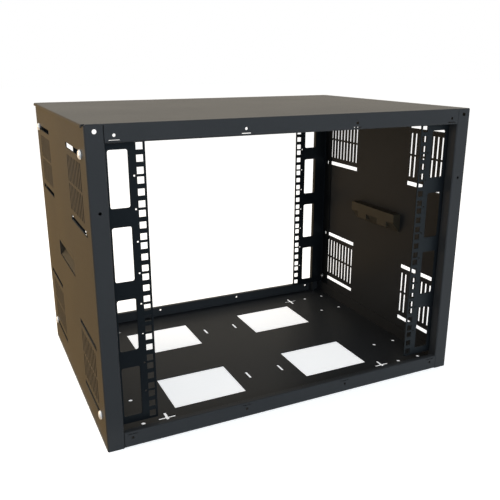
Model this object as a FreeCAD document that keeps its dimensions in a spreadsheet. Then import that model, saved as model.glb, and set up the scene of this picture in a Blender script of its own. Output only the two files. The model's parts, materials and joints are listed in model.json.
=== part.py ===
import FreeCAD, Part
import math
import os
import re
import Sketcher

# Rack cabinet: an open frame of bent steel sheet with four 19-inch rails that slide fore and aft.
# Millimetres. +Z is up, the front looks along -Y, and the origin is on the floor under the middle.

# Every driving size: alias, value, what it measures.
SIZES = [
    ("body_width", 609.6, "over the outer faces of the side panels"),
    ("body_depth", 438.2, "front posts to rear posts, over all"),
    ("body_height", 454.0, "floor to the top of the lid"),
    ("sheet", 1.5, "thickness of the panels' sheet"),
    ("bend", 1.0, "inside radius of the panels' bends"),
    ("seam", 0.1, "gap between two panels that meet edge to edge"),
    ("post_width", 24.4, "front and rear posts, folded from the side panels"),
    ("post_lip", 17.5, "return lip behind each post, from the post's outer face"),
    ("flange", 24.0, "height of the floor's upstands and of the lid's front and rear flanges"),
    ("flange_return", 9.5, "lip folded in along each flange's free edge, over all"),
    ("weld_tab", 16.0, "tab folded back at each end of a flange, along a post's return lip"),
    ("lid_lap", 4.2, "height of the lid's side lips"),
    ("lid_gap", 1.6, "gap between a side lip and the side panel"),
    ("lid_notch", 5.0, "square relief at the lid's corners"),
    ("lid_edge", 1.2, "rounding of the lid's front and rear edges"),
    ("rack_lift", 2.0, "middle of the cabinet up to the middle of the rack space"),
    ("unit_pitch", 44.45, "height of one rack unit"),
    ("unit_edge", 6.35, "rack unit's edge to its first hole"),
    ("unit_step", 15.875, "from hole to hole inside one rack unit"),
    ("rack_opening", 450.0, "clear width between the rails"),
    ("column_inset", 7.55, "rail's inner edge to its column of square holes"),
    ("square_hole", 9.5, "side of a square hole"),
    ("marker_hole", 2.6, "side of the small hole that marks each unit's edge"),
    ("marker_offset", 8.3, "from the square holes' column out to the marker holes"),
    ("rail_sheet", 2.0, "thickness of the rails"),
    ("rail_bend", 1.5, "inside radius of the rails' bend"),
    ("rail_trim", 50.0, "how much shorter a rail is than the cabinet is high"),
    ("rail_gap", 1.0, "gap between a post's return lip and a rail's face"),
    ("rail_flange", 25.4, "depth of a rail's side flange, over the face"),
    ("window_inset", 23.0, "rail's inner edge to its windows"),
    ("window_margin", 15.2, "windows to the rail's outer face"),
    ("window_height", 76.2, "windows in the rails"),
    ("window_corner", 6.0, "corner radius of the windows"),
    ("window_pitch", 101.6, "window to window"),
    ("slide_gap", 0.3, "running gap between what slides and the side panel"),
    ("travel", 104.0, "how far a rail slides"),
    ("slot_room", 0.75, "room above and below a screw in its slot"),
    ("screw_set", 12.25, "rail's face back to its screws"),
    ("screw_inset", 16.7, "end of a rail to its screw"),
    ("slot_spacing", 104.3, "upper or lower slot to the inner slot next to it"),
    ("vent_width", 4.5, "one vent slot"),
    ("vent_length", 37.6, "one vent slot, upright"),
    ("vent_pitch", 11.4, "vent to vent along a row"),
    ("vent_columns", 9, "vents in a row"),
    ("vent_row_gap", 3.6, "bar between the two rows of a group"),
    ("vent_inset", 88.2, "front or rear to the middle of a vent group"),
    ("screw_diameter", 6.0, "shank of a clamp screw"),
    ("screw_spare", 1.0, "end of a screw, past its nut"),
    ("screw_head", 13.0, "diameter of the head"),
    ("screw_crown", 8.2, "diameter of the head's flat top"),
    ("screw_rise", 3.6, "height of the head"),
    ("screw_rest", 1.25, "spare length of slot in front of a screw at rest"),
    ("hole_gap", 0.25, "radial room round a screw in the rail"),
    ("spare_hole", 6.4, "side of the spare square holes in a rail's side flange"),
    ("nut_width", 10.0, "across the flats"),
    ("nut_height", 5.0, "thickness of a nut"),
    ("thread_gap", 0.05, "radial room between a screw and its nut"),
    ("clip_hole", 4.2, "diameter of the flange holes for clip nuts"),
    ("clip_inset", 12.05, "post to the nearest flange hole"),
    ("clip_count", 4, "flange holes in a row"),
    ("clip_rise", 14.3, "outer face of the floor or lid to the flange holes"),
    ("slit_rise", 20.5, "outer face of the floor or lid to the clip slits"),
    ("slit_length", 14.0, "clip slit beside each flange hole"),
    ("slit_width", 1.2, "clip slit beside each flange hole"),
    ("corner_hole", 6.0, "hole at the top of each post"),
    ("corner_side", 12.7, "side face to the posts' holes"),
    ("corner_drop", 9.1, "top of the lid to the corner holes"),
    ("post_hole", 4.3, "small hole in each post"),
    ("post_hole_rise", 114.3, "middle of the rack space to the small hole"),
    ("cutout_width", 124.0, "large floor cut-outs, across"),
    ("cutout_depth", 98.0, "large floor cut-outs, fore and aft"),
    ("cutout_side", 120.1, "middle of the floor to a cut-out, across"),
    ("cutout_fore", 100.3, "middle of the floor to a cut-out, fore and aft"),
    ("caster_hole", 7.0, "diameter of the caster holes"),
    ("caster_side", 42.8, "side of the cabinet to the middle of a caster plate"),
    ("caster_fore", 86.2, "front or rear to the middle of a caster plate"),
    ("caster_across", 44.5, "hole spacing of a caster plate, across"),
    ("caster_along", 73.8, "hole spacing of a caster plate, fore and aft"),
    ("cross_side", 102.8, "side of the cabinet to a cross cut-out"),
    ("cross_fore", 49.6, "front or rear to a cross cut-out"),
    ("cross_across", 27.0, "length of a cross cut-out's arm, across"),
    ("cross_along", 30.0, "length of a cross cut-out's arm, fore and aft"),
    ("cross_width", 4.5, "width of a cross cut-out's arms"),
    ("tie_side", 31.5, "middle of the floor to a tie slot, across"),
    ("tie_fore", 100.5, "middle of the floor to a tie slot, fore and aft"),
    ("tie_length", 23.0, "tie slot, end to end"),
    ("tie_width", 4.5, "tie slot"),
    ("handle_length", 133.0, "handle opening in a side panel"),
    ("handle_height", 33.2, "handle opening in a side panel"),
    ("cup_depth", 16.0, "handle cup, behind the side panel"),
    ("cup_wall", 2.0, "wall of the handle cup"),
    ("cup_rise", 1.5, "cup's ceiling above the opening"),
    ("cup_foot", 1.5, "cup's wall below the opening"),
    ("cup_back", 15.2, "top of the opening down to the foot of the cup's upright back wall"),
    ("grip_height", 8.5, "grip bar across the top of the opening"),
    ("grip_depth", 5.0, "grip bar, behind the side panel's inner face"),
    ("grip_round", 1.5, "rounding of the grip bar's lower edges"),
    ("grip_gap", 0.2, "room between the grip bar and the opening"),
    ("rib_width", 28.0, "each of the two ribs under the cup"),
    ("rib_side", 32.5, "middle of the cup to a rib"),
    ("rib_drop", 11.5, "height of a rib"),
]

doc = FreeCAD.newDocument("rack_cabinet")
sizes = doc.addObject("Spreadsheet::Sheet", "sizes")
for row, (alias, amount, note) in enumerate(SIZES, 1):
    sizes.set(f"A{row}", alias)
    sizes.set(f"B{row}", str(amount))
    sizes.setAlias(f"B{row}", alias)
    sizes.set(f"C{row}", note)
working = doc.addObject("Spreadsheet::Sheet", "working")
doc.recompute()

# Widths that several pieces share, as formulas of the sizes.
HALF_WIDTH = "body_width / 2"
PANEL_INSIDE = "(body_width / 2 - sheet)"
POST_INSIDE = "(body_width / 2 - post_width)"
LID_SIDE = "(body_width / 2 + lid_gap + sheet)"
RAIL_OUTSIDE = "(body_width / 2 - sheet - slide_gap)"
COLUMN = "(rack_opening / 2 + column_inset)"
CLIP_PITCH = f"(2 * ({POST_INSIDE} - clip_inset) / (clip_count - 1))"

# Depths, counted from the middle of the cabinet.
HALF_DEPTH = "body_depth / 2"
RAIL_FACE = "(body_depth / 2 - post_lip - rail_gap)"
SCREW_FORE = f"({RAIL_FACE} - screw_set)"
SLOT_LENGTH = "(travel + screw_diameter + 2 * screw_rest)"
SLOT_CENTRE = f"({SCREW_FORE} - travel / 2)"
VENT_CENTRE = "(body_depth / 2 - vent_inset)"

# Heights.
RACK_CENTRE = "(body_height / 2 + rack_lift)"
RAIL_LENGTH = "(body_height - rail_trim)"
RACK_UNITS = f"floor({RAIL_LENGTH} / unit_pitch)"
RACK_BOTTOM = f"({RACK_CENTRE} - {RACK_UNITS} * unit_pitch / 2)"
WINDOW_COUNT = f"floor(({RAIL_LENGTH} + window_pitch - window_height) / window_pitch)"
SLOT_WIDTH = "(screw_diameter + 2 * slot_room)"
SCREW_RISE = f"({RAIL_LENGTH} / 2 - screw_inset)"
INNER_SLOT_RISE = f"({SCREW_RISE} - slot_spacing)"
VENT_RISE = f"({SCREW_RISE} - slot_spacing / 2)"
HANDLE_TOP = f"({RACK_CENTRE} + handle_height / 2)"
HANDLE_LOW = f"({RACK_CENTRE} - handle_height / 2)"
SCREW_LENGTH = "(2 * slide_gap + sheet + rail_sheet + nut_height + screw_spare)"
BOTH = (-1, 1)
TOUCH = 0.01
UP = FreeCAD.Vector(0, 0, 1)
WORKING_CELL = "A1"


def formula(text):
    """A formula in aliases, with each alias pointed at the sheet."""
    return re.sub(r"\b[a-z][a-z_]*\b(?!\()", lambda word: "sizes." + word.group(0), text)


def present(text):
    """A formula's present value, worked out in one cell of the working sheet."""
    working.set(WORKING_CELL, "=" + formula(text))
    working.recompute()
    return float(working.get(WORKING_CELL))


def bind(thing, name, text):
    thing.setExpression(name, formula(text))


def new_body(label):
    body = doc.addObject("PartDesign::Body", label)
    body.Label = label
    return body


def origin_part(body, role):
    return next(part for part in body.Origin.OriginFeatures if part.Role == role)


def new_sketch(body, name, plane, offset=None):
    sketch = body.newObject("Sketcher::SketchObject", name)
    sketch.AttachmentSupport = [(origin_part(body, plane), "")]
    sketch.MapMode = "FlatFace"
    if offset:
        bind(sketch, "AttachmentOffset.Base.z", offset)
    return sketch


def drive(sketch, constraint, text):
    """Add a dimension to a sketch and bind it to a formula."""
    number = sketch.addConstraint(constraint)
    sketch.setExpression(f"Constraints[{number}]", formula(text))


def pin(sketch, shape, point, across, up):
    """Hold one point of a sketch by its two distances from the sketch's origin."""
    drive(sketch, Sketcher.Constraint("DistanceX", -1, 1, shape, point, present(across)), across)
    drive(sketch, Sketcher.Constraint("DistanceY", -1, 1, shape, point, present(up)), up)


def polygon(sketch, corners):
    """A closed outline of straight lines through corners given as formulas."""
    spots = [FreeCAD.Vector(present(across), present(up), 0) for across, up in corners]
    sides = list(zip(spots, spots[1:] + spots[:1]))
    lines = [sketch.addGeometry(Part.LineSegment(start, end)) for start, end in sides]
    for line, following in zip(lines, lines[1:] + lines[:1]):
        sketch.addConstraint(Sketcher.Constraint("Coincident", line, 2, following, 1))
    for line, (across, up) in zip(lines, corners):
        pin(sketch, line, 1, across, up)


def rectangle(sketch, left, right, low, high):
    polygon(sketch, [(left, low), (right, low), (right, high), (left, high)])


def box_about(sketch, across, up, width, height):
    """A rectangle about a middle point."""
    rectangle(sketch, f"{across} - {width} / 2", f"{across} + {width} / 2",
              f"{up} - {height} / 2", f"{up} + {height} / 2")


def circle(sketch, across, up, diameter):
    middle = FreeCAD.Vector(present(across), present(up), 0)
    ring = sketch.addGeometry(Part.Circle(middle, UP, present(diameter) / 2))
    pin(sketch, ring, 3, across, up)
    drive(sketch, Sketcher.Constraint("Diameter", ring, present(diameter)), diameter)


def rounded(sketch, centres, radius):
    """An outline of arcs of one radius about the given centres, counter-clockwise, joined by tangents."""
    reach = present(radius)
    spots = [FreeCAD.Vector(present(across), present(up), 0) for across, up in centres]
    headings = [math.atan2(end.y - start.y, end.x - start.x)
                for start, end in zip(spots, spots[1:] + spots[:1])]
    arcs = []
    for spot, arriving, leaving in zip(spots, headings[-1:] + headings[:-1], headings):
        turn = (leaving - arriving) % (2 * math.pi)
        first = arriving - math.pi / 2
        arc = Part.ArcOfCircle(Part.Circle(spot, UP, reach), first, first + turn)
        arcs.append(sketch.addGeometry(arc))
    for arc, following in zip(arcs, arcs[1:] + arcs[:1]):
        start = sketch.Geometry[arc].EndPoint
        end = sketch.Geometry[following].StartPoint
        line = sketch.addGeometry(Part.LineSegment(start, end))
        sketch.addConstraint(Sketcher.Constraint("Tangent", arc, 2, line, 1))
        sketch.addConstraint(Sketcher.Constraint("Tangent", line, 2, following, 1))
    for arc in arcs[1:]:
        sketch.addConstraint(Sketcher.Constraint("Equal", arcs[0], arc))
    for arc, (across, up) in zip(arcs, centres):
        pin(sketch, arc, 3, across, up)
    drive(sketch, Sketcher.Constraint("Radius", arcs[0], reach), radius)


def upright_slot(sketch, across, up, length, width):
    """A slot with round ends about a middle point."""
    reach = f"({length} - {width}) / 2"
    rounded(sketch, [(across, f"{up} - {reach}"), (across, f"{up} + {reach}")], f"{width} / 2")


def rounded_box(sketch, left, right, low, high, corner):
    lefts = f"{left} + {corner}"
    rights = f"{right} - {corner}"
    lows = f"{low} + {corner}"
    highs = f"{high} - {corner}"
    rounded(sketch, [(lefts, lows), (rights, lows), (rights, highs), (lefts, highs)], corner)


def finish_feature(body, feature):
    body.Tip = feature
    doc.recompute()
    return feature


def pad(body, name, sketch, length, both_ways=False):
    feature = body.newObject("PartDesign::Pad", name)
    feature.Profile = sketch
    feature.SideType = "Symmetric" if both_ways else "One side"
    bind(feature, "Length", length)
    return finish_feature(body, feature)


def cut(body, name, sketch, length=None):
    """A pocket both ways from its sketch: right through, or of a given length."""
    feature = body.newObject("PartDesign::Pocket", name)
    feature.Profile = sketch
    feature.SideType = "Symmetric"
    if length:
        bind(feature, "Length", length)
    else:
        feature.Type = "ThroughAll"
    before = body.Shape.Volume
    finish_feature(body, feature)
    if body.Shape.Volume > before - TOUCH:
        raise RuntimeError(f"{body.Label}: {name} cuts nothing")
    return feature


def row_of(body, name, role, spacing, count):
    """One row of a pattern: its direction, spacing and number."""
    pattern = body.newObject("PartDesign::LinearPattern", name)
    pattern.Direction = (origin_part(body, role), [""])
    bind(pattern, "Length", f"{spacing} * ({count} - 1)")
    bind(pattern, "Occurrences", count)
    return pattern


def repeat(body, name, feature, role, spacing, count):
    pattern = row_of(body, name, role, spacing, count)
    pattern.Originals = [feature]
    return finish_feature(body, pattern)


def mirrored(body, name, role):
    mirror = body.newObject("PartDesign::Mirrored", name)
    mirror.MirrorPlane = (origin_part(body, role), [""])
    return mirror


def edges_along(feature, axis, spots):
    """The straight edges along an axis that pass through spots of the plane across it."""
    across = [number for number in range(3) if number != axis]
    wanted = [[present(text) for text in spot] for spot in spots]
    names = []
    for number, edge in enumerate(feature.Shape.Edges, 1):
        heading = edge.tangentAt(edge.FirstParameter)
        middle = edge.CenterOfMass
        straight = abs(abs(heading[axis]) - 1) < TOUCH
        near = any(math.dist([middle[i] for i in across], spot) < TOUCH for spot in wanted)
        if straight and near:
            names.append(f"Edge{number}")
    return names


def round_edges(body, name, feature, axis, spots, radius):
    rounding = body.newObject("PartDesign::Fillet", name)
    rounding.Base = (feature, edges_along(feature, axis, spots))
    bind(rounding, "Radius", radius)
    return finish_feature(body, rounding)


# Side panels: one wall whose front and rear edges fold in as posts, and back as return lips.
def side_panel(label, side):
    body = new_body(label)
    outer = f"{side} * {HALF_WIDTH}"
    inner = f"{side} * {PANEL_INSIDE}"
    post = f"{side} * {POST_INSIDE}"
    lip = f"{side} * ({POST_INSIDE} + sheet)"
    front = f"-{HALF_DEPTH}"
    rear = HALF_DEPTH
    section = new_sketch(body, "section", "XY_Plane")
    polygon(section, [
        (post, f"{front} + post_lip"), (post, front), (outer, front),
        (outer, rear), (post, rear), (post, f"{rear} - post_lip"),
        (lip, f"{rear} - post_lip"), (lip, f"{rear} - sheet"), (inner, f"{rear} - sheet"),
        (inner, f"{front} + sheet"), (lip, f"{front} + sheet"), (lip, f"{front} + post_lip"),
    ])
    wall = pad(body, "wall", section, "body_height - sheet")
    outside = [(x, y) for x in (outer, post) for y in (front, rear)]
    inside = [(x, y) for x in (inner, lip) for y in (f"{front} + sheet", f"{rear} - sheet")]
    wall = round_edges(body, "outer_bends", wall, 2, outside, "bend + sheet")
    round_edges(body, "inner_bends", wall, 2, inside, "bend")

    slots = new_sketch(body, "rail_slots", "YZ_Plane")
    for end in BOTH:
        for level in BOTH:
            for rise in (SCREW_RISE, INNER_SLOT_RISE):
                box_about(slots, f"{end} * {SLOT_CENTRE}", f"{RACK_CENTRE} + {level} * {rise}",
                          SLOT_LENGTH, SLOT_WIDTH)
    cut(body, "rail_slot_cuts", slots)

    vent = new_sketch(body, "vent", "YZ_Plane")
    box_about(vent, f"-{VENT_CENTRE} - (vent_columns - 1) / 2 * vent_pitch",
              f"{RACK_CENTRE} - {VENT_RISE} - (vent_length + vent_row_gap) / 2",
              "vent_width", "vent_length")
    first_vent = cut(body, "vent_cut", vent)
    vents = body.newObject("PartDesign::MultiTransform", "vents")
    vents.Originals = [first_vent]
    vents.Transformations = [
        row_of(body, "vent_row", "Y_Axis", "vent_pitch", "vent_columns"),
        row_of(body, "vent_rows", "Z_Axis", "(vent_length + vent_row_gap)", "2"),
        row_of(body, "vent_groups", "Z_Axis", f"2 * {VENT_RISE}", "2"),
        mirrored(body, "vent_ends", "XZ_Plane"),
    ]
    finish_feature(body, vents)

    grip = new_sketch(body, "handle_opening", "YZ_Plane")
    rectangle(grip, "-handle_length / 2", "handle_length / 2", HANDLE_LOW, HANDLE_TOP)
    cut(body, "handle_cut", grip)

    holes = new_sketch(body, "post_holes", "XZ_Plane")
    column = f"{side} * ({HALF_WIDTH} - corner_side)"
    circle(holes, column, "body_height - corner_drop", "corner_hole")
    circle(holes, column, f"{RACK_CENTRE} + post_hole_rise", "post_hole")
    cut(body, "post_hole_cuts", holes)
    return body


# The row of holes and slits along a front and a rear flange, for clip nuts.
def clip_row(body, rise):
    holes = new_sketch(body, "clip", "XZ_Plane")
    first = f"-{POST_INSIDE} + clip_inset"
    circle(holes, first, rise("clip_rise"), "clip_hole")
    box_about(holes, first, rise("slit_rise"), "slit_length", "slit_width")
    repeat(body, "clips", cut(body, "clip_cut", holes), "X_Axis", CLIP_PITCH, "clip_count")


# An outline that is the same in all four corners. One corner's steps run from its end to its side.
def stepped_outline(sketch, steps):
    corners = []
    for across, along in ((1, -1), (1, 1), (-1, 1), (-1, -1)):
        ordered = steps if across * along < 0 else steps[::-1]
        corners += [(f"{across} * {x}", f"{along} * {y}") for x, y in ordered]
    polygon(sketch, corners)


# Front and rear flanges between the posts, with tabs at their ends and a lip along the free edge.
def end_flanges(body, base, lip_base):
    span = f"({POST_INSIDE} - seam)"
    folds = new_sketch(body, "flanges", "XY_Plane", base)
    lips = new_sketch(body, "flange_lips", "XY_Plane", lip_base)
    for end in BOTH:
        outer = f"{end} * {HALF_DEPTH}"
        inner = f"{end} * ({HALF_DEPTH} - sheet)"
        tab = f"{end} * ({HALF_DEPTH} - weld_tab)"
        polygon(folds, [
            (f"-{span}", outer), (span, outer), (span, tab), (f"{span} - sheet", tab),
            (f"{span} - sheet", inner), (f"-{span} + sheet", inner),
            (f"-{span} + sheet", tab), (f"-{span}", tab),
        ])
        rectangle(lips, f"-{span}", span, outer, f"{end} * ({HALF_DEPTH} - flange_return)")
    pad(body, "flange_sheet", folds, "flange")
    return pad(body, "flange_lip_sheet", lips, "sheet")


# Round the bends between a deck and its flanges, and between the flanges and their lips.
def round_flanges(body, panel, deck, rim, edge):
    """Each of deck and rim gives the outer and the inner height of its bend."""
    heights = {"deck": (*deck, edge), "rim": (*rim, "bend + sheet")}
    for name, (outer, inner, radius) in heights.items():
        outside = [(f"{end} * {HALF_DEPTH}", outer) for end in BOTH]
        inside = [(f"{end} * ({HALF_DEPTH} - sheet)", inner) for end in BOTH]
        panel = round_edges(body, f"{name}_outer_bends", panel, 0, outside, radius)
        panel = round_edges(body, f"{name}_inner_bends", panel, 0, inside, "bend")


# Lid: a deck with flanges between the posts and small lips outside the side panels.
def top_panel():
    body = new_body("top_panel")
    reach = f"({HALF_DEPTH} - lid_notch)"
    narrow = f"({LID_SIDE} - lid_notch)"
    deck = new_sketch(body, "deck", "XY_Plane", "body_height - sheet")
    stepped_outline(deck, [(narrow, HALF_DEPTH), (narrow, reach), (LID_SIDE, reach)])
    pad(body, "deck_sheet", deck, "sheet")
    end_flanges(body, "body_height - flange", "body_height - flange")
    lips = new_sketch(body, "side_lips", "XY_Plane", "body_height - lid_lap")
    rectangle(lips, f"-{LID_SIDE}", f"-{LID_SIDE} + sheet", f"-{reach}", reach)
    rectangle(lips, f"{LID_SIDE} - sheet", LID_SIDE, f"-{reach}", reach)
    shell = pad(body, "side_lip_sheet", lips, "lid_lap")
    sides = [(f"{side} * {LID_SIDE}", "body_height") for side in BOTH]
    shell = round_edges(body, "side_lip_bends", shell, 1, sides, "bend + sheet")
    round_flanges(body, shell, ("body_height", "body_height - sheet"),
                  ("body_height - flange", "body_height - flange + sheet"), "lid_edge")
    clip_row(body, lambda rise: f"body_height - {rise}")
    return body


# Floor: a pan that stands between the side panels, slit at the corners for the posts' return lips.
def bottom_panel():
    body = new_body("bottom_panel")
    span = f"({POST_INSIDE} - seam)"
    reach = f"({HALF_DEPTH} - post_lip - seam)"
    hollow = f"({POST_INSIDE} + sheet + seam)"
    inside = f"({HALF_DEPTH} - sheet - bend - seam)"
    deck = new_sketch(body, "deck", "XY_Plane")
    stepped_outline(deck, [(span, HALF_DEPTH), (span, reach), (hollow, reach), (hollow, inside),
                           (PANEL_INSIDE, inside)])
    pad(body, "deck_sheet", deck, "sheet")
    end_flanges(body, None, "flange - sheet")
    upstands = new_sketch(body, "upstands", "XY_Plane")
    rectangle(upstands, f"-{PANEL_INSIDE}", f"-{PANEL_INSIDE} + sheet", f"-{inside}", inside)
    rectangle(upstands, f"{PANEL_INSIDE} - sheet", PANEL_INSIDE, f"-{inside}", inside)
    pan = pad(body, "upstand_sheet", upstands, "flange")
    sides = [(f"{side} * {PANEL_INSIDE}", "0") for side in BOTH]
    pan = round_edges(body, "upstand_bends", pan, 1, sides, "bend + sheet")
    round_flanges(body, pan, ("0", "sheet"), ("flange", "flange - sheet"), "bend + sheet")
    clip_row(body, lambda rise: rise)

    openings = new_sketch(body, "openings", "XY_Plane")
    cross_bars = new_sketch(body, "cross_bars", "XY_Plane")
    cross_stems = new_sketch(body, "cross_stems", "XY_Plane")
    for side in BOTH:
        for end in BOTH:
            box_about(openings, f"{side} * cutout_side", f"{end} * cutout_fore",
                      "cutout_width", "cutout_depth")
            upright_slot(openings, f"{side} * tie_side", f"{end} * tie_fore", "tie_length", "tie_width")
            plate_side = f"{side} * ({HALF_WIDTH} - caster_side)"
            plate_fore = f"{end} * ({HALF_DEPTH} - caster_fore)"
            for across in BOTH:
                for along in BOTH:
                    circle(openings, f"{plate_side} + {across} * caster_across / 2",
                           f"{plate_fore} + {along} * caster_along / 2", "caster_hole")
            spot = (f"{side} * ({HALF_WIDTH} - cross_side)", f"{end} * ({HALF_DEPTH} - cross_fore)")
            box_about(cross_bars, *spot, "cross_across", "cross_width")
            box_about(cross_stems, *spot, "cross_width", "cross_along")
    cut(body, "floor_openings", openings)
    cut(body, "cross_bar_cuts", cross_bars)
    cut(body, "cross_stem_cuts", cross_stems)
    return body


# Rack rails: a face with the rack's hole pattern, and a side flange that the screws clamp.
def rack_rail(label, side, end):
    body = new_body(label)
    inner = f"{side} * rack_opening / 2"
    outer = f"{side} * {RAIL_OUTSIDE}"
    web = f"{side} * ({RAIL_OUTSIDE} - rail_sheet)"
    face = f"{end} * {RAIL_FACE}"
    back = f"{end} * ({RAIL_FACE} - rail_sheet)"
    tail = f"{end} * ({RAIL_FACE} - rail_flange)"
    section = new_sketch(body, "section", "XY_Plane", f"{RACK_CENTRE} - {RAIL_LENGTH} / 2")
    polygon(section, [(inner, face), (outer, face), (outer, tail),
                      (web, tail), (web, back), (inner, back)])
    angle = pad(body, "angle", section, RAIL_LENGTH)
    angle = round_edges(body, "outer_bend", angle, 2, [(outer, face)], "rail_bend + rail_sheet")
    round_edges(body, "inner_bend", angle, 2, [(web, back)], "rail_bend")

    squares = new_sketch(body, "unit_holes", "XZ_Plane")
    column = f"{side} * {COLUMN}"
    for step in range(3):
        box_about(squares, column, f"{RACK_BOTTOM} + unit_edge + {step} * unit_step",
                  "square_hole", "square_hole")
    unit = cut(body, "unit_cut", squares)
    repeat(body, "units", unit, "Z_Axis", "unit_pitch", RACK_UNITS)

    marker = new_sketch(body, "marker", "XZ_Plane")
    box_about(marker, f"{side} * ({COLUMN} + marker_offset)", f"{RACK_BOTTOM} + unit_pitch",
              "marker_hole", "marker_hole")
    mark = cut(body, "marker_cut", marker)
    repeat(body, "markers", mark, "Z_Axis", "unit_pitch", f"({RACK_UNITS} - 1)")

    window = new_sketch(body, "window", "XZ_Plane")
    near = "(rack_opening / 2 + window_inset)"
    far = f"({RAIL_OUTSIDE} - window_margin)"
    left, right = (near, far) if side > 0 else (f"-{far}", f"-{near}")
    low = f"{RACK_CENTRE} - ({WINDOW_COUNT} - 1) / 2 * window_pitch - window_height / 2"
    rounded_box(window, left, right, low, f"{low} + window_height", "window_corner")
    opening = cut(body, "window_cut", window)
    repeat(body, "windows", opening, "Z_Axis", "window_pitch", WINDOW_COUNT)

    holes = new_sketch(body, "screw_holes", "YZ_Plane")
    for level in BOTH:
        circle(holes, f"{end} * {SCREW_FORE}", f"{RACK_CENTRE} + {level} * {SCREW_RISE}",
               "(screw_diameter + 2 * hole_gap)")
        box_about(holes, f"{end} * {SCREW_FORE}", f"{RACK_CENTRE} + {level} * {INNER_SLOT_RISE}",
                  "spare_hole", "spare_hole")
    cut(body, "screw_hole_cuts", holes)
    return body


# Set a fastener, made along +Z, so that it points out of the side panel at one of its slots.
def set_fastener(body, side, end, level, across):
    body.Placement.Rotation = FreeCAD.Rotation(FreeCAD.Vector(0, 1, 0), side * 90)
    bind(body, "Placement.Base.x", f"{side} * ({across})")
    bind(body, "Placement.Base.y", f"{end} * {SCREW_FORE}")
    bind(body, "Placement.Base.z", f"{RACK_CENTRE} + {level} * {SCREW_RISE}")


# Clamp screw: a low pan head that bears on the side panel, turned about its own axis.
def clamp_screw(label, side, end, level):
    body = new_body(label)
    turned = new_sketch(body, "turned", "XZ_Plane")
    polygon(turned, [
        ("0", f"-{SCREW_LENGTH}"), ("screw_diameter / 2", f"-{SCREW_LENGTH}"), ("screw_diameter / 2", "0"),
        ("screw_head / 2", "0"), ("screw_crown / 2", "screw_rise"), ("0", "screw_rise"),
    ])
    turn = body.newObject("PartDesign::Revolution", "screw")
    turn.Profile = turned
    turn.ReferenceAxis = (turned, ["V_Axis"])
    finish_feature(body, turn)
    set_fastener(body, side, end, level, f"{HALF_WIDTH} + slide_gap")
    return body


# Nut: a plain hexagon behind the rail's side flange.
def clamp_nut(label, side, end, level):
    body = new_body(label)
    hexagon = new_sketch(body, "hexagon", "XY_Plane")
    flat = "nut_width / 2"
    point = "nut_width / sqrt(3)"
    polygon(hexagon, [("0", f"-{point}"), (flat, f"-{point} / 2"), (flat, f"{point} / 2"),
                      ("0", point), (f"-{flat}", f"{point} / 2"), (f"-{flat}", f"-{point} / 2")])
    circle(hexagon, "0", "0", "(screw_diameter + 2 * thread_gap)")
    pad(body, "nut", hexagon, "nut_height")
    set_fastener(body, side, end, level, f"{RAIL_OUTSIDE} - rail_sheet - nut_height")
    return body


# Handle: a moulded cup behind the side panel's opening, with a grip bar that the fingers hook over.
def handle(label, side):
    body = new_body(label)
    mouth = f"{side} * {PANEL_INSIDE}"
    back = f"{side} * ({PANEL_INSIDE} - cup_depth)"
    hollow_back = f"{side} * ({PANEL_INSIDE} - cup_depth + cup_wall)"
    bar = f"{side} * ({PANEL_INSIDE} - grip_depth)"
    ceiling = f"({HANDLE_TOP} + cup_rise)"
    knee = f"({HANDLE_TOP} - cup_back)"
    slope = f"(({knee} - {HANDLE_LOW} + cup_foot) / cup_depth)"
    bar_low = f"({HANDLE_TOP} - grip_height)"
    block = new_sketch(body, "block", "XZ_Plane")
    polygon(block, [(mouth, f"{HANDLE_LOW} - cup_foot"), (back, knee), (back, ceiling),
                    (mouth, ceiling)])
    pad(body, "cup", block, "handle_length + 2 * cup_wall", True)
    hollow = new_sketch(body, "hollow", "XZ_Plane")
    slope_top = f"{HANDLE_LOW} + {slope} * (cup_depth - cup_wall)"
    polygon(hollow, [(mouth, HANDLE_LOW), (hollow_back, slope_top),
                     (hollow_back, f"{ceiling} - cup_wall"), (bar, f"{ceiling} - cup_wall"),
                     (bar, bar_low), (mouth, bar_low)])
    cut(body, "hollow_cut", hollow, "handle_length")
    bar_front = new_sketch(body, "bar_front", "XZ_Plane")
    rectangle(bar_front, f"{side} * {HALF_WIDTH}", mouth, bar_low, f"{HANDLE_TOP} - grip_gap")
    grip = pad(body, "grip_bar", bar_front, "handle_length - 2 * grip_gap", True)
    lower = [(f"{side} * {HALF_WIDTH}", bar_low), (bar, bar_low)]
    round_edges(body, "grip_rounding", grip, 1, lower, "grip_round")
    under = new_sketch(body, "rib", "XZ_Plane", "rib_side")
    polygon(under, [(back, knee), (back, f"{knee} - rib_drop"),
                    (f"{side} * ({PANEL_INSIDE} - cup_depth + rib_drop / {slope})", f"{knee} - rib_drop")])
    rib = pad(body, "rib_block", under, "rib_width", True)
    ribs = mirrored(body, "ribs", "XZ_Plane")
    ribs.Originals = [rib]
    finish_feature(body, ribs)
    return body


SIDE_NAMES = {-1: "left", 1: "right"}
END_NAMES = {-1: "front", 1: "rear"}
LEVEL_NAMES = {-1: "lower", 1: "upper"}

pieces = [top_panel(), bottom_panel()]
for side, side_name in SIDE_NAMES.items():
    pieces.append(side_panel(f"{side_name}_side_panel", side))
    pieces.append(handle(f"{side_name}_handle", side))
    for end, end_name in END_NAMES.items():
        rail_name = f"{end_name}_{side_name}_rail"
        pieces.append(rack_rail(rail_name, side, end))
        for level, level_name in LEVEL_NAMES.items():
            pieces.append(clamp_screw(f"{rail_name}_{level_name}_screw", side, end, level))
            pieces.append(clamp_nut(f"{rail_name}_{level_name}_nut", side, end, level))

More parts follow.
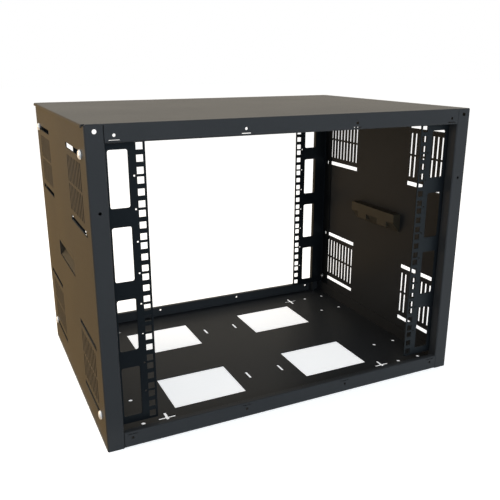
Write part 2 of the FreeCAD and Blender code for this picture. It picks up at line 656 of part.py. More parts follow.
doc.removeObject(working.Name)
doc.recompute()
for item in doc.Objects:
    if "Invalid" in item.State or "Error" in item.State:
        raise RuntimeError(f"{item.Label} failed: {item.State}")
for piece in pieces:
    if piece.Shape.isNull() or not piece.Shape.isValid() or len(piece.Shape.Solids) != 1:
        raise RuntimeError(f"{piece.Label} is not one valid solid")

os.makedirs("parts", exist_ok=True)
for piece in pieces:
    piece.Shape.exportStep(f"parts/{piece.Label}.step")
    box = piece.Shape.BoundBox
    print(f"{piece.Label}: {box.XLength:.1f} x {box.YLength:.1f} x {box.ZLength:.1f} mm")
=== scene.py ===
# %% [markdown]
# # A low rack cabinet, finished in Blender
# The cabinet is a box of bent sheet steel, open at the front and the rear. Four rails for
# rack equipment stand inside it, and each one slides fore and aft along slots in the side
# panels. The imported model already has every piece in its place, in metres. This lesson adds
# what a model to look at still needs: the camera, the light, the finishes, the true width of
# the rails' windows, and the detail of the clamp screws and their nuts.

# %% Load the model
import json
import math

import bmesh
import bpy
from mathutils import Matrix, Vector


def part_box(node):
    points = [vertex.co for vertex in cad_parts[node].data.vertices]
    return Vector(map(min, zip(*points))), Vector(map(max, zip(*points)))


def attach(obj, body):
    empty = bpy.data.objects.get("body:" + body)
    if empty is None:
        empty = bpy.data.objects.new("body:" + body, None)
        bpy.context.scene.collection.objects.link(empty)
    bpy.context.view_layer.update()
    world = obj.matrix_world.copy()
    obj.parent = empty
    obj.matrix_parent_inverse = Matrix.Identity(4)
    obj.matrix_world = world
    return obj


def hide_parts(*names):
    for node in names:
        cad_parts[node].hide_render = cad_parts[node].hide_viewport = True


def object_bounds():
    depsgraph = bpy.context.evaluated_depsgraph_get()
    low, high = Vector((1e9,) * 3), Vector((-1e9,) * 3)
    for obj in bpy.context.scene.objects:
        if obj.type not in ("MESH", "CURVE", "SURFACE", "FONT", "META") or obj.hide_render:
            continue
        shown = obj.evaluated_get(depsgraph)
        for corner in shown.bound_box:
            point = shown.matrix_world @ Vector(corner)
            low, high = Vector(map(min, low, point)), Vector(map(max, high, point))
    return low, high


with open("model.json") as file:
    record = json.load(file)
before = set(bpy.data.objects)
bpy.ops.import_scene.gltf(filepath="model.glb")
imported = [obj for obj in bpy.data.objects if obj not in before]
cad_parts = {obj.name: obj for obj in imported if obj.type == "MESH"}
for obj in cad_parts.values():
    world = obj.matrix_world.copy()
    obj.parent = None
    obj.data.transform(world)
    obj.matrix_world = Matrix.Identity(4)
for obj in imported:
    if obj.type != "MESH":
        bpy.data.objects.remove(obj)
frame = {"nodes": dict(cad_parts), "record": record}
cad_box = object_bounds()
nodes = frame["nodes"]
subparts = frame["record"]["subparts"]

# %% [markdown]
# ## The camera
# A photograph of a box gives its own camera away: the edges that run away from us meet at
# vanishing points, and the rack's standard hole spacing sets the scale. The place, the two
# angles and the lens below are that solution. The camera stands left of the middle, a little
# above the lid, and looks slightly down.

# %% Camera
CAMERA_PLACE = (-0.4477, -0.9830, 0.5279)
CAMERA_TILT = math.radians(17.02)
CAMERA_TURN = math.radians(-25.43)
LENS_MM = 44.76
SENSOR_MM = 36.0

camera_data = bpy.data.cameras.new("photo_camera")
camera_data.lens = LENS_MM
camera_data.sensor_width = SENSOR_MM
camera = bpy.data.objects.new("photo_camera", camera_data)
camera.location = CAMERA_PLACE
camera.rotation_euler = (math.pi / 2 - CAMERA_TILT, 0, CAMERA_TURN)
scene = bpy.context.scene
scene.collection.objects.link(camera)
scene.camera = camera
scene.view_settings.view_transform = "Standard"
print(f"camera {LENS_MM} mm at {CAMERA_PLACE}")

# %% [markdown]
# ## Node helpers
# Materials and the world are trees of shader nodes. They could be wired by hand in the Shader
# Editor; in a script, a few short helpers keep the wiring readable. add_node adds a node and
# fills in its sockets, each with a plain value or with the output of another node to link to.
# A socket goes by its name, or by its number, as in i0 and i1, where several share a name.

# %% Helpers for nodes
def find_socket(node, name):
    """An input by its name, or by its number for a name such as i0."""
    if name[0] == "i" and name[1:].isdigit():
        return node.inputs[int(name[1:])]
    return node.inputs[name]


def add_node(tree, kind, settings=None, **sockets):
    """Add a node. Settings are its own options; sockets are values or outputs to link."""
    node = tree.nodes.new(kind)
    for name, value in (settings or {}).items():
        setattr(node, name, value)
    for name, value in sockets.items():
        socket = find_socket(node, name)
        if isinstance(value, bpy.types.NodeSocket):
            tree.links.new(value, socket)
        else:
            socket.default_value = value
    return node


def math_node(tree, operation, first, second):
    """The output of a Math node that works on two values."""
    node = add_node(tree, "ShaderNodeMath", {"operation": operation}, i0=first, i1=second)
    return node.outputs[0]


print("helpers ready: add_node, math_node")

# %% [markdown]
# ## The backdrop
# Dark paint shows mostly what it reflects, so the light has to be wide and soft: the world
# itself is the main softbox, warmer behind than in front. The white background is a separate
# thing. Light Path tells the kinds of ray apart, so rays from the camera, and rays that a
# surface mirrors or lets through, see plain white, and only the light that falls on the
# cabinet has the softbox's tints.

# %% World
WORLD_FRONT = (0.50, 0.56, 0.64, 1)
WORLD_BACK = (1.0, 0.93, 0.84, 1)
WORLD_LEVEL = 0.75
WORLD_BLEND = 0.6  # how far to the front and to the back the two tints still mix
WHITE = (1, 1, 1, 1)


def sees_backdrop(tree):
    """1 for the rays that see the white backdrop: direct, mirrored or let through."""
    path = add_node(tree, "ShaderNodeLightPath").outputs
    straight = math_node(tree, "MAXIMUM", path["Is Camera Ray"], path["Is Glossy Ray"])
    return math_node(tree, "MAXIMUM", straight, path["Is Transmission Ray"])


world = bpy.data.worlds.new("studio")
scene.world = world
world.use_nodes = True
sky = world.node_tree
sky.nodes.clear()
direction = add_node(sky, "ShaderNodeTexCoord").outputs["Generated"]
depth = add_node(sky, "ShaderNodeSeparateXYZ", i0=direction).outputs["Y"]
rearward = add_node(sky, "ShaderNodeMapRange",
                    i0=depth, i1=-WORLD_BLEND, i2=WORLD_BLEND).outputs[0]
# A Mix node set to colours has its two colours in sockets 6 and 7 and its result in output 2.
tint = add_node(sky, "ShaderNodeMix", {"data_type": "RGBA"},
                i0=rearward, i6=WORLD_FRONT, i7=WORLD_BACK).outputs[2]
softbox = add_node(sky, "ShaderNodeBackground", Color=tint, Strength=WORLD_LEVEL)
backdrop = add_node(sky, "ShaderNodeBackground", Color=WHITE, Strength=1.0)
chosen = add_node(sky, "ShaderNodeMixShader", i0=sees_backdrop(sky),
                  i1=softbox.outputs[0], i2=backdrop.outputs[0])
add_node(sky, "ShaderNodeOutputWorld", Surface=chosen.outputs[0])
print("world: soft light, plain white behind and in reflections")

# %% [markdown]
# ## The floor
# The cabinet stands on a plain pale floor that runs out to white. The floor is lit like any
# pale surface, so it keeps the cabinet's shadow. For the rays that see the backdrop, a part of
# its brightness is its own, which hides the line where the floor meets the backdrop.

# %% Floor
FLOOR_HALF = 12.0
FLOOR_COLOUR = (0.86, 0.85, 0.83, 1)
FLOOR_OWN_LIGHT = 0.55

floor_mesh = bmesh.new()
bmesh.ops.create_grid(floor_mesh, x_segments=1, y_segments=1, size=FLOOR_HALF)
floor_data = bpy.data.meshes.new("floor")
floor_mesh.to_mesh(floor_data)
floor_mesh.free()
floor = bpy.data.objects.new("floor", floor_data)
scene.collection.objects.link(floor)

floor_finish = bpy.data.materials.new("floor")
floor_finish.use_nodes = True
tree = floor_finish.node_tree
tree.nodes.clear()
lit = add_node(tree, "ShaderNodeBsdfDiffuse", Color=FLOOR_COLOUR)
own = math_node(tree, "MULTIPLY", sees_backdrop(tree), FLOOR_OWN_LIGHT)
glow = add_node(tree, "ShaderNodeEmission", Color=WHITE, Strength=own)
both = add_node(tree, "ShaderNodeAddShader", i0=lit.outputs[0], i1=glow.outputs[0])
add_node(tree, "ShaderNodeOutputMaterial", Surface=both.outputs[0])
floor_data.materials.append(floor_finish)
print(f"floor: {2 * FLOOR_HALF} m across, keeps the shadow")

# %% [markdown]
# ## Cards
# A glossy dark surface takes its tone from what it mirrors. Seen from this camera the left side
# mirrors the floor beside it, the lid mirrors what stands far behind it, and the front mirrors
# the floor before it. A photographer would lay a tan card beside the box and stand a cream one
# behind it, with a lower tan one before its left half, to warm the side and the lid. A grey card
# in front at the left keeps the left post and rail darker than the right ones. The cards are
# seen by glossy rays only, so they neither show nor cast a shadow.

# %% Places and colours of the cards
CARD_RISE = 0.001  # a lying card is just above the floor


def lying(outline):
    """Corners of a card on the floor, from its outline seen from above."""
    return [(x, y, CARD_RISE) for x, y in outline]


def standing(left, right, back, top):
    """Corners of an upright card that faces the front."""
    return [(left, back, 0.0), (right, back, 0.0), (right, back, top), (left, back, top)]


CARDS = [
    # name, corners, colour
    ("tan_card", lying([(-2.4, -0.26), (-0.306, -0.26), (-0.306, 0.23),
                        (0.25, 0.23), (0.25, 5.8), (-2.4, 5.8)]), (0.66, 0.415, 0.16, 1)),
    ("cream_card", standing(-9.0, 9.0, 6.0, 7.0), (0.88, 0.80, 0.67, 1)),
    ("grey_card", lying([(-3.0, -4.5), (2.2, -4.5), (0.05, -0.27), (-3.0, -0.27)]),
     (0.12, 0.125, 0.13, 1)),
    ("tan_stand", standing(-9.0, -0.3, 5.9, 2.4), (0.68, 0.44, 0.18, 1)),
]
print("cards:", ", ".join(name for name, *_ in CARDS))

# %% Cards
def add_card(name, corners, colour):
    outline = bmesh.new()
    outline.faces.new([outline.verts.new(corner) for corner in corners])
    data = bpy.data.meshes.new(name)
    outline.to_mesh(data)
    outline.free()
    card = bpy.data.objects.new(name, data)
    scene.collection.objects.link(card)
    card.visible_camera = False
    card.visible_diffuse = False
    card.visible_shadow = False
    card.visible_transmission = False
    finish = bpy.data.materials.new(name)
    finish.use_nodes = True
    tree = finish.node_tree
    tree.nodes.clear()
    shine = add_node(tree, "ShaderNodeEmission", Color=colour, Strength=1.0)
    add_node(tree, "ShaderNodeOutputMaterial", Surface=shine.outputs[0])
    data.materials.append(finish)


for card_facts in CARDS:
    add_card(*card_facts)
print(f"{len(CARDS)} cards, seen in the paint only")

# %% [markdown]
# ## Lamps
# Three wide area lamps model the form: a neutral one overhead, a warm one at the left and a
# cool one in front. The cool one only fills the shaded front, so it is hidden from glossy rays:
# otherwise its highlight would lift the left rail, which the real light leaves nearly black.

# %% Lamps
LAMPS = [
    # name, place, aim, size across and up, colour, watts, gives a highlight
    ("overhead", (-0.4, 0.3, 2.4), (0.0, 0.0, 0.3), (2.6, 2.2), (1.0, 0.95, 0.88), 32.0, True),
    ("warm_left", (-1.7, 0.7, 0.55), (-0.3, 0.0, 0.25), (1.8, 1.0), (1.0, 0.74, 0.46), 15.0, True),
    ("cool_front", (0.1, -2.4, 0.7), (0.0, 0.0, 0.25), (2.0, 1.4), (0.72, 0.86, 1.0), 41.0, False),
]
for name, place, aim, (across, up), colour, watts, highlight in LAMPS:
    lamp = bpy.data.lights.new(name, "AREA")
    lamp.shape = "RECTANGLE"
    lamp.size = across
    lamp.size_y = up
    lamp.color = colour
    lamp.energy = watts
    holder = bpy.data.objects.new(name, lamp)
    holder.location = place
    holder.rotation_euler = (Vector(aim) - Vector(place)).to_track_quat("-Z", "Y").to_euler()
    holder.visible_camera = False
    holder.visible_glossy = highlight
    scene.collection.objects.link(holder)
print(f"{len(LAMPS)} soft lamps")

# %% [markdown]
# ## Powder coat
# The panels are sprayed with dry powder that melts into a satin skin. It is never quite
# smooth: it has a fine pebble texture under a millimetre across, the gloss drifts a little
# from place to place, and the film is rounded over at every sheet edge. One image texture per
# material could show this, but noise needs no image and has no seams. The panels, the rails
# and the mouldings all share the effect, so it is one node group with named sockets. A Bevel
# node rounds the edges inside it, a Bump node raises the pebble on that, and the group puts out
# the Colour, Roughness and Normal for each material's own shader.

# %% Helper for node groups
FLOAT, COLOUR, VECTOR = "NodeSocketFloat", "NodeSocketColor", "NodeSocketVector"


def start_group(name, inputs, outputs):
    """A shader node group whose sockets are given as {name: kind}."""
    group = bpy.data.node_groups.new(name, "ShaderNodeTree")
    for in_out, sockets in (("INPUT", inputs), ("OUTPUT", outputs)):
        for label, kind in sockets.items():
            group.interface.new_socket(label, in_out=in_out, socket_type=kind)
    return group, group.nodes.new("NodeGroupInput"), group.nodes.new("NodeGroupOutput")


print("helper ready: start_group")

# %% Group: satin skin
NOISE_MIDDLE = 0.5
PEBBLE_DETAIL = 2.0
PEBBLE_ROUGHNESS = 0.55
PEBBLE_DEPTH = 0.0004
PIT_GLOSS = 0.12  # what the pebble adds to the roughness
PIT_SHADE = 1.5  # what that roughness does to the colour
CLOUD_SCALE = 7.0
CLOUD_DETAIL = 4.0
CLOUD_SHADE = 0.25
EDGE_RADIUS = 0.0006
EDGE_SAMPLES = 4


def make_satin_skin():
    group, entry, result = start_group(
        "satin_skin",
        {"Colour": COLOUR, "Roughness": FLOAT, "Pebble Scale": FLOAT, "Pebble Height": FLOAT,
         "Drift": FLOAT},
        {"Colour": COLOUR, "Roughness": FLOAT, "Normal": VECTOR})
    given = entry.outputs
    place = add_node(group, "ShaderNodeTexCoord").outputs["Object"]
    pebble = add_node(group, "ShaderNodeTexNoise", Vector=place, Scale=given["Pebble Scale"],
                      Detail=PEBBLE_DETAIL, Roughness=PEBBLE_ROUGHNESS).outputs[0]
    cloud = add_node(group, "ShaderNodeTexNoise", Vector=place, Scale=CLOUD_SCALE,
                     Detail=CLOUD_DETAIL).outputs[0]
    patches = math_node(group, "SUBTRACT", cloud, NOISE_MIDDLE)
    drift = math_node(group, "MULTIPLY", patches, given["Drift"])
    grain = math_node(group, "SUBTRACT", pebble, NOISE_MIDDLE)
    pits = math_node(group, "MULTIPLY", grain, PIT_GLOSS)
    drifted = math_node(group, "ADD", given["Roughness"], drift)
    rough = math_node(group, "ADD", drifted, pits)
    pit_shade = math_node(group, "ADD", 1.0, math_node(group, "MULTIPLY", pits, PIT_SHADE))
    patch_shade = math_node(group, "MULTIPLY", patches, CLOUD_SHADE)
    shade = math_node(group, "ADD", pit_shade, patch_shade)
    tinted = add_node(group, "ShaderNodeVectorMath", {"operation": "SCALE"},
                      i0=given["Colour"], Scale=shade).outputs[0]
    rounded_edge = add_node(group, "ShaderNodeBevel", {"samples": EDGE_SAMPLES},
                            Radius=EDGE_RADIUS).outputs[0]
    bump = add_node(group, "ShaderNodeBump", Strength=given["Pebble Height"],
                    Distance=PEBBLE_DEPTH, Height=pebble, Normal=rounded_edge).outputs[0]
    group.links.new(tinted, result.inputs["Colour"])
    group.links.new(rough, result.inputs["Roughness"])
    group.links.new(bump, result.inputs["Normal"])
    return group


satin_skin = make_satin_skin()
print("group satin_skin:", len(satin_skin.nodes), "nodes")

# %% [markdown]
# ## Coats and mouldings
# Each satin finish is a Principled shader that the group feeds. What is the same all over the
# surface, such as the level of its gloss, is set on the shader itself. The panels are a
# charcoal black, the rails a smoother one with a bluish gloss, and the handles are a brownish
# moulding with a coarser grain. The rails' colour is much darker than the panels': partly their
# own deeper black, partly painted shade from the lid and the posts that stand over them.

# %% Coated and moulded finishes
RAIL_GLOSS_TINT = (0.70, 0.88, 1.0, 1)


def satin_material(name, colour, roughness, gloss, pebble_scale, pebble_height, drift):
    finish = bpy.data.materials.new(name)
    finish.use_nodes = True
    tree = finish.node_tree
    shader = tree.nodes["Principled BSDF"]
    skin = add_node(tree, "ShaderNodeGroup", {"node_tree": satin_skin}, **{
        "Colour": colour, "Roughness": roughness, "Pebble Scale": pebble_scale,
        "Pebble Height": pebble_height, "Drift": drift})
    tree.links.new(skin.outputs["Colour"], shader.inputs["Base Color"])
    tree.links.new(skin.outputs["Roughness"], shader.inputs["Roughness"])
    tree.links.new(skin.outputs["Normal"], shader.inputs["Normal"])
    shader.inputs["Specular IOR Level"].default_value = gloss
    return finish


panel_coat = satin_material(
    "panel_coat", colour=(0.027, 0.028, 0.029, 1), roughness=0.38, gloss=0.07,
    pebble_scale=1100.0, pebble_height=0.25, drift=0.08)
# The rails' colour is partly their own deep black and partly painted shade from the lid and posts.
rail_coat = satin_material(
    "rail_coat", colour=(0.005, 0.006, 0.007, 1), roughness=0.42, gloss=0.17,
    pebble_scale=1600.0, pebble_height=0.12, drift=0.06)
handle_moulding = satin_material(
    "handle_moulding", colour=(0.045, 0.038, 0.026, 1), roughness=0.55, gloss=0.15,
    pebble_scale=700.0, pebble_height=0.45, drift=0.05)
rail_shader = rail_coat.node_tree.nodes["Principled BSDF"]
rail_shader.inputs["Specular Tint"].default_value = RAIL_GLOSS_TINT
print("coats:", panel_coat.name, rail_coat.name, handle_moulding.name)

# %% [markdown]
# ## Plated metal
# The clamp screws are zinc plated and their nuts blackened. Plating follows the tool marks
# under it, so it is finely scored, and it dulls in small clouds. Both metals share one group
# and differ in colour and gloss. The clear film on zinc makes it paler and milkier than bare
# metal, so the screw's Metallic value stays below 1.

# %% Group: plating
STREAK_DETAIL = 3.0
STREAK_STRENGTH = 0.15
STREAK_DEPTH = 0.0001
DULL_SCALE = 300.0
DULL_DETAIL = 3.0
DULL_GLOSS = 0.25  # what a dull cloud adds to the roughness
DULL_SHADE = 0.6  # what that roughness does to the shade
PLATE_SHADE = 0.92


def make_plating():
    group, entry, result = start_group(
        "plating",
        {"Roughness": FLOAT, "Streak Scale": FLOAT},
        {"Roughness": FLOAT, "Shade": FLOAT, "Normal": VECTOR})
    given = entry.outputs
    place = add_node(group, "ShaderNodeTexCoord").outputs["Object"]
    streak = add_node(group, "ShaderNodeTexNoise", Vector=place, Scale=given["Streak Scale"],
                      Detail=STREAK_DETAIL).outputs[0]
    cloud = add_node(group, "ShaderNodeTexNoise", Vector=place, Scale=DULL_SCALE,
                     Detail=DULL_DETAIL).outputs[0]
    patches = math_node(group, "SUBTRACT", cloud, NOISE_MIDDLE)
    change = math_node(group, "MULTIPLY", patches, DULL_GLOSS)
    rough = math_node(group, "ADD", given["Roughness"], change)
    shade_change = math_node(group, "MULTIPLY", change, DULL_SHADE)
    shade = math_node(group, "ADD", PLATE_SHADE, shade_change)
    bump = add_node(group, "ShaderNodeBump", Strength=STREAK_STRENGTH, Distance=STREAK_DEPTH,
                    Height=streak).outputs[0]
    group.links.new(rough, result.inputs["Roughness"])
    group.links.new(shade, result.inputs["Shade"])
    group.links.new(bump, result.inputs["Normal"])
    return group


plating = make_plating()
print("group plating:", len(plating.nodes), "nodes")

# %% Plated finishes
def plated_material(name, colour, roughness, streak_scale, metallic):
    finish = bpy.data.materials.new(name)
    finish.use_nodes = True
    tree = finish.node_tree
    shader = tree.nodes["Principled BSDF"]
    shader.inputs["Metallic"].default_value = metallic
    plate = add_node(tree, "ShaderNodeGroup", {"node_tree": plating}, **{
        "Roughness": roughness, "Streak Scale": streak_scale})
    tint = add_node(tree, "ShaderNodeVectorMath", {"operation": "SCALE"},
                    i0=colour, Scale=plate.outputs["Shade"]).outputs[0]
    tree.links.new(tint, shader.inputs["Base Color"])
    tree.links.new(plate.outputs["Roughness"], shader.inputs["Roughness"])
    tree.links.new(plate.outputs["Normal"], shader.inputs["Normal"])
    return finish


bright_screw = plated_material("bright_screw", colour=(0.80, 0.81, 0.82), roughness=0.36,
                               streak_scale=2500.0, metallic=0.45)
nut_steel = plated_material("nut_steel", colour=(0.06, 0.06, 0.06), roughness=0.40,
                            streak_scale=1800.0, metallic=1.0)
print("plated:", bright_screw.name, nut_steel.name)

# %% [markdown]
# ## A finish on every piece
# The record names the finish of each piece, so one loop can dress them all: the plain material
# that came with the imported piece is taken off, and ours goes on.

# %% Give every piece its finish
FINISHES = {"panel_coat": panel_coat, "rail_coat": rail_coat, "handle_moulding": handle_moulding,
            "bright_screw": bright_screw, "nut_steel": nut_steel}
for part in subparts:
    piece = nodes[part["node"]]
    piece.data.materials.clear()
    piece.data.materials.append(FINISHES[part["material_slot"]])
print(f"{len(subparts)} pieces finished")

# %% [markdown]
# ## Showing a new mesh in a piece's place
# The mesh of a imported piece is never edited.

# %% Helper for new pieces
BODY_OF_NODE = {node: body for body, members in frame["record"]["behaviour"]["bodies"].items()
                for node in members}


def show_instead(node, mesh, slot_name):
    """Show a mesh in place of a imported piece, on the same body and with the same finish."""
    mesh.materials.clear()
    mesh.materials.append(FINISHES[slot_name])
    piece = bpy.data.objects.new(f"shaped_{node}", mesh)
    scene.collection.objects.link(piece)
    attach(piece, BODY_OF_NODE[node])
    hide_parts(node)


print(f"{len(BODY_OF_NODE)} pieces known by their body")

# %% [markdown]
# ## Rail windows
# Between its square holes and its bend, each rail has four tall windows with round corners. The
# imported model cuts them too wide, so that they run out of sight behind the corner post. On the
# real rail they end just beside the post, and their corners are tighter. That could be modelled
# afresh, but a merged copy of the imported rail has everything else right, so only the vertices
# round each window move: shrinking an arc towards its sharp corner keeps it round, and sliding
# the outer edge inwards keeps it straight.

# %% Corners of the windows
WINDOW_NEAR = 0.248  # inner edge, from the middle of the cabinet
WINDOW_FAR = 0.2878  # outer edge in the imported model
WINDOW_FAR_SEEN = 0.2744  # outer edge on the real rail
WINDOW_HEIGHT = 0.0762
WINDOW_PITCH = 0.1016
WINDOW_COUNT = 4
WINDOW_CORNER = 0.006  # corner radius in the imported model
WINDOW_CORNER_SEEN = 0.003  # corner radius on the real rail
TOUCH = 1e-5


def vertices_between(shape, across, heights):
    """The vertices in a range of distances from the middle and a range of heights."""
    return [vert for vert in shape.verts
            if min(across) - TOUCH < abs(vert.co.x) < max(across) + TOUCH
            and min(heights) - TOUCH < vert.co.z < max(heights) + TOUCH]


def shrink_corner(shape, side, across, height, inward, upward):
    """Make one round corner of a window tighter, about the point where its two edges meet."""
    arc = vertices_between(shape, (across, across + inward * WINDOW_CORNER),
                           (height, height + upward * WINDOW_CORNER))
    share = WINDOW_CORNER_SEEN / WINDOW_CORNER
    corner = Matrix.Translation((side * across, 0, height))
    shrink = Matrix.Diagonal((share, 1, share, 1))
    bmesh.ops.transform(shape, matrix=corner @ shrink @ corner.inverted(), verts=arc)


print(f"window corners: {WINDOW_CORNER} m in the packed model, {WINDOW_CORNER_SEEN} m here")

# %% Rails with corrected windows
MERGE_DISTANCE = 1e-6


def corrected_rail(packed, side):
    """A copy of a packed rail with narrower windows. The side is 1 at the right, -1 at the left."""
    shape = bmesh.new()
    shape.from_mesh(packed)
    bmesh.ops.remove_doubles(shape, verts=shape.verts, dist=MERGE_DISTANCE)
    edge = vertices_between(shape, (WINDOW_FAR - WINDOW_CORNER, WINDOW_FAR), (0, cad_box[1][2]))
    lowest = min(vert.co.z for vert in edge)
    for window in range(WINDOW_COUNT):
        bottom = lowest + window * WINDOW_PITCH
        for across, inward in ((WINDOW_NEAR, 1), (WINDOW_FAR, -1)):
            shrink_corner(shape, side, across, bottom, inward, 1)
            shrink_corner(shape, side, across, bottom + WINDOW_HEIGHT, inward, -1)
    bmesh.ops.translate(shape, verts=edge, vec=(side * (WINDOW_FAR_SEEN - WINDOW_FAR), 0, 0))
    mesh = bpy.data.meshes.new("rail")
    shape.to_mesh(mesh)
    shape.free()
    return mesh


for part in subparts:
    if part["material_slot"] == "rail_coat":
        low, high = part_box(part["node"])
        side = math.copysign(1, low.x + high.x)
        show_instead(part["node"], corrected_rail(nodes[part["node"]].data, side), "rail_coat")
print(f"rail windows {WINDOW_FAR_SEEN - WINDOW_NEAR:.4f} m wide")

# %% [markdown]
# ## Turned screws
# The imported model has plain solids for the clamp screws. Here each one gets the shape that a
# hand would meet: a round pan head, and a shank with the ridges of its thread. Ridges that run
# straight round look the same at this size as a true helix and are much simpler. A screw is
# then a profile turned about its axis: bmesh's spin sweeps a chain of edges round by a full
# turn, and use_merge joins the last step to the first.

# %% Turning a profile
TURN_STEPS = 32


def turned(profile):
    """A mesh turned about Z from (radius, height) points that start and end on the axis."""
    shape = bmesh.new()
    chain = [shape.verts.new((radius, 0, height)) for radius, height in profile]
    edges = [shape.edges.new(pair) for pair in zip(chain, chain[1:])]
    bmesh.ops.spin(shape, geom=chain + edges, cent=(0, 0, 0), axis=(0, 0, 1), dvec=(0, 0, 0),
                   angle=2 * math.pi, steps=TURN_STEPS, use_merge=True, use_duplicate=False)
    bmesh.ops.remove_doubles(shape, verts=shape.verts, dist=MERGE_DISTANCE)
    bmesh.ops.recalc_face_normals(shape, faces=shape.faces)
    for face in shape.faces:
        face.smooth = True
    return shape


print(f"turning in {TURN_STEPS} steps")

# %% Screw profile
HEAD_RISE = 0.0036
HEAD_STEPS = 9
HEAD_FULLNESS = 0.75  # 1 is a plain ellipse, less is squarer
SHANK_RADIUS = 0.003
THREAD_PITCH = 0.001
THREAD_DEPTH = 0.00055


def screw_profile(head_radius, length):
    """A round pan head above height 0, and a threaded shank below it."""
    turns = [math.pi / 2 * step / HEAD_STEPS for step in range(HEAD_STEPS + 1)]
    head = [(head_radius * math.sin(turn) ** HEAD_FULLNESS,
             HEAD_RISE * math.cos(turn) ** HEAD_FULLNESS) for turn in turns]
    root = SHANK_RADIUS - THREAD_DEPTH
    shank = [(SHANK_RADIUS, 0.0)]
    for thread in range(int(length / THREAD_PITCH) - 1):
        shank.append((root, -(thread + 0.5) * THREAD_PITCH))
        shank.append((SHANK_RADIUS, -(thread + 1) * THREAD_PITCH))
    return head + shank + [(root, -length), (0.0, -length)]


print(f"screw head {HEAD_RISE} m high, thread pitch {THREAD_PITCH} m")

# %% [markdown]
# ## Cross recess
# A screwdriver needs its cross in the head. Two blades that narrow downwards make a cutter, and
# a Boolean modifier takes it out of the turned screw. The modifier's result is kept as a mesh,
# and edges that turn by more than SHARP_ANGLE are marked sharp, so that the smooth shading of
# the dome stops at the rim and at the recess.

# %% Recess cutter
RECESS_LENGTH = 0.0062
RECESS_WIDTH = 0.0013
RECESS_DEPTH = 0.0019
RECESS_FOOT = (0.5, 0.7, 1.0)  # a blade's foot, as a share of its top


def cross_cutter():
    """Two crossed blades that narrow downwards, to cut the recess with."""
    blades = bmesh.new()
    for turn in (0, math.pi / 2):
        blade = bmesh.ops.create_cube(blades, size=1.0)["verts"]
        bmesh.ops.scale(blades, verts=blade, vec=(RECESS_LENGTH, RECESS_WIDTH, 2 * RECESS_DEPTH))
        foot = [vert for vert in blade if vert.co.z < 0]
        bmesh.ops.scale(blades, verts=foot, vec=RECESS_FOOT)
        bmesh.ops.rotate(blades, verts=blade, cent=(0, 0, 0), matrix=Matrix.Rotation(turn, 3, "Z"))
        bmesh.ops.translate(blades, verts=blade, vec=(0, 0, HEAD_RISE))
    return blades


print(f"cross recess {RECESS_LENGTH} m long, {RECESS_DEPTH} m deep")

# %% Finished screw
SHARP_ANGLE = math.radians(35)


def as_object(name, shape):
    data = bpy.data.meshes.new(name)
    shape.to_mesh(data)
    shape.free()
    made = bpy.data.objects.new(name, data)
    scene.collection.objects.link(made)
    return made


def screw_mesh(head_radius, length):
    screw = as_object("screw_blank", turned(screw_profile(head_radius, length)))
    cutter = as_object("recess_cutter", cross_cutter())
    recess = screw.modifiers.new("recess", "BOOLEAN")
    recess.operation = "DIFFERENCE"
    recess.solver = "EXACT"
    recess.use_self = True
    recess.object = cutter
    finished = screw.evaluated_get(bpy.context.evaluated_depsgraph_get())
    mesh = bpy.data.meshes.new_from_object(finished)
    mesh.set_sharp_from_angle(angle=SHARP_ANGLE)
    bpy.data.objects.remove(screw)
    bpy.data.objects.remove(cutter)
    return mesh


print(f"edges sharp past {math.degrees(SHARP_ANGLE):.0f} degrees")

# %% [markdown]
# ## Hexagon nuts
# A nut sits on each screw inside the rail. Its outline is a hexagon and its bore a circle.
# bridge_loops joins two rings into a face with a hole, and it does so cleanly when both have
# as many edges, so the hexagon's sides are cut into a few edges each. solidify then gives the
# face its thickness, and a bevel chamfers the outer rims, as on a pressed nut.

# %% Nut
NUT_SIDES = 6
NUT_CUTS = 3
NUT_CHAMFER = 0.0007
NUT_CHAMFER_STEPS = 2


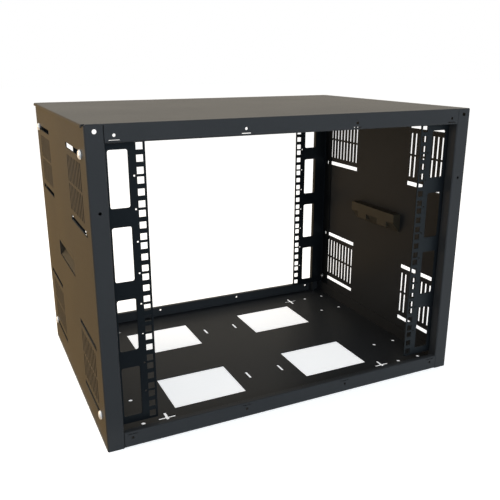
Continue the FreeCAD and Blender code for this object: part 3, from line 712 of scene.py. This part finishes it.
def nut_mesh(flats, thickness):
    """A hexagon bored through, its outer rims chamfered. It stands on height 0."""
    shape = bmesh.new()
    tip_radius = flats / 2 / math.cos(math.pi / NUT_SIDES)
    bmesh.ops.create_circle(shape, segments=NUT_SIDES, radius=tip_radius)
    bmesh.ops.subdivide_edges(shape, edges=shape.edges, cuts=NUT_CUTS)
    bmesh.ops.create_circle(shape, segments=NUT_SIDES * (NUT_CUTS + 1), radius=SHANK_RADIUS)
    ring = bmesh.ops.bridge_loops(shape, edges=shape.edges)["faces"]
    bmesh.ops.recalc_face_normals(shape, faces=ring)
    bmesh.ops.solidify(shape, geom=ring, thickness=thickness)
    bmesh.ops.recalc_face_normals(shape, faces=shape.faces)
    foot = min(vert.co.z for vert in shape.verts)
    bmesh.ops.translate(shape, verts=shape.verts, vec=(0, 0, -foot))
    flat_rims = [edge for edge in shape.edges
                 if abs(edge.verts[0].co.z - edge.verts[1].co.z) < thickness / 2
                 and all(vert.co.xy.length > flats / 2 - MERGE_DISTANCE for vert in edge.verts)]
    bmesh.ops.bevel(shape, geom=flat_rims, offset=NUT_CHAMFER, affect="EDGES",
                    segments=NUT_CHAMFER_STEPS, profile=0.5, material=-1)
    bmesh.ops.recalc_face_normals(shape, faces=shape.faces)
    mesh = bpy.data.meshes.new("nut")
    shape.to_mesh(mesh)
    shape.free()
    return mesh


print(f"nut with {NUT_SIDES} sides, chamfer {NUT_CHAMFER} m")

# %% [markdown]
# ## Setting the fasteners
# Every screw and nut takes its sizes from the box of the solid that it stands for. Both meshes
# were made along Z, so each is turned to point out of its side of the cabinet. That turn and
# the place go into the mesh, and the object itself stays at the origin.

# %% Set the fasteners
def set_fastener(node, slot_name):
    """Make the screw or nut that belongs in a solid's box, and show it there."""
    low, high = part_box(node)
    middle = (low + high) / 2
    size = high - low
    side = math.copysign(1, middle.x)
    outside = max(abs(low.x), abs(high.x))
    if slot_name == "bright_screw":
        mesh = screw_mesh(size.y / 2, size.x - HEAD_RISE)
        base = outside - HEAD_RISE
    else:
        mesh = nut_mesh(min(size.y, size.z), size.x)
        base = outside - size.x
    turn = Matrix.Rotation(side * math.pi / 2, 4, "Y")
    mesh.transform(Matrix.Translation((side * base, middle.y, middle.z)) @ turn)
    show_instead(node, mesh, slot_name)


for part in subparts:
    if part["material_slot"] in ("bright_screw", "nut_steel"):
        set_fastener(part["node"], part["material_slot"])

# %% [markdown]
# ## The end of the script
# A helper turns a box into a list of its corners.

# %% Sizes and finish
def corners(box):
    return [list(corner) for corner in box]
